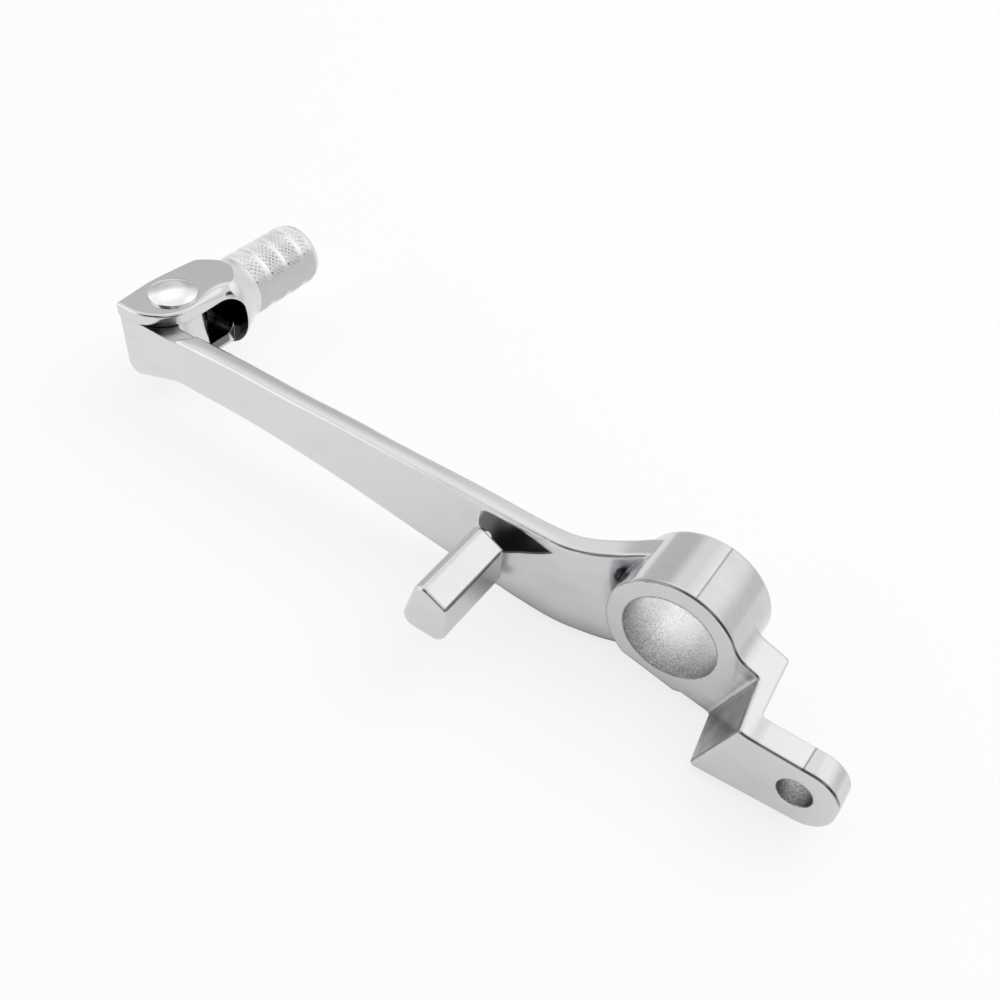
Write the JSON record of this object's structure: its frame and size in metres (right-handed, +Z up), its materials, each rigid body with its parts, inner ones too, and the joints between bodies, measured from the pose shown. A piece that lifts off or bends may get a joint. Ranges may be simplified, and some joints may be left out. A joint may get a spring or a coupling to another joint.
{
  "type": "motorcycle gear shift lever",
  "caption": "Polished foot gear lever: an arm with a pivot boss, a joggled link tab, a stop lug and a spring-loaded folding toe peg with a knurled barrel",
  "frame": {"origin": "the middle of the pivot bore, on its axis, half way along it", "axes": "+X from the toe peg towards the link tab, +Y along the bore the way the toe peg points, +Z up along the axis that the peg folds about"},
  "size_m": [0.1939, 0.0783, 0.029],
  "materials": {
    "polished_forging": "polished",
    "peg_metal": "polished fork, satin knurl",
    "rivet": "polished",
    "spring_wire": "drawn wire"
  },
  "bodies": {
    "lever": {"lever_arm": "polished_forging", "return_spring": "spring_wire"},
    "peg": {"toe_peg": "peg_metal", "hinge_pin": "rivet"}
  },
  "joints": [
    {"name": "toe_peg_fold", "type": "hinge", "parent": "lever", "child": "peg", "pos_m": [-0.142, 0.0027, 0], "axis": [0, 0, -1], "range_deg": [0, 65], "stiffness_Nm_per_rad": 0.2, "springref_deg": -34.38, "deforming": ["return_spring"]}
  ]
}
